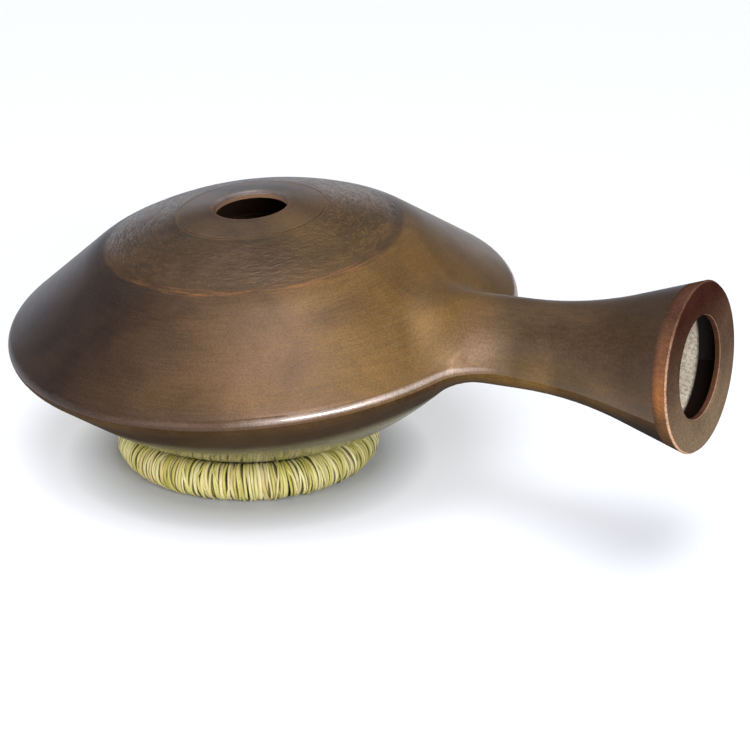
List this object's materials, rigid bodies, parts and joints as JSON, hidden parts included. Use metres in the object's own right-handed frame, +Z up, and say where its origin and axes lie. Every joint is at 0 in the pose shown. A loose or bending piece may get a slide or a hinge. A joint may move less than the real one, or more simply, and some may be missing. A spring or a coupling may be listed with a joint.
{
  "type": "udu drum",
  "caption": "Hollow lens-shaped clay hand drum with a sound hole in its crown and a flared neck at one side, resting loose in a rush-wound ring.",
  "frame": {"origin": "middle of the footprint, on the floor", "axes": "+Z up, +X along the neck towards the mouth"},
  "size_m": [0.5638, 0.3918, 0.2076],
  "materials": {
    "upper_shell": "burnished bronze-brown slip with a satin sheen",
    "lower_shell": "burnished dark grey-brown slip with a satin sheen",
    "mouth_ring": "burnished reddish brown slip with a satin sheen",
    "stand_core": "dry straw",
    "core_ties": "flat natural twine",
    "stand_wrap": "dried rush"
  },
  "bodies": {
    "stand": {"stand_core": "stand_core", "core_ties": "core_ties", "stand_wrap": "stand_wrap"},
    "vessel": {"upper_shell": "upper_shell", "lower_shell": "lower_shell", "mouth_ring": "mouth_ring"}
  },
  "joints": [
    {"name": "lift", "type": "slide", "parent": "stand", "child": "vessel", "axis": [0, 0, 1], "range_m": [0, 0.15]}
  ]
}
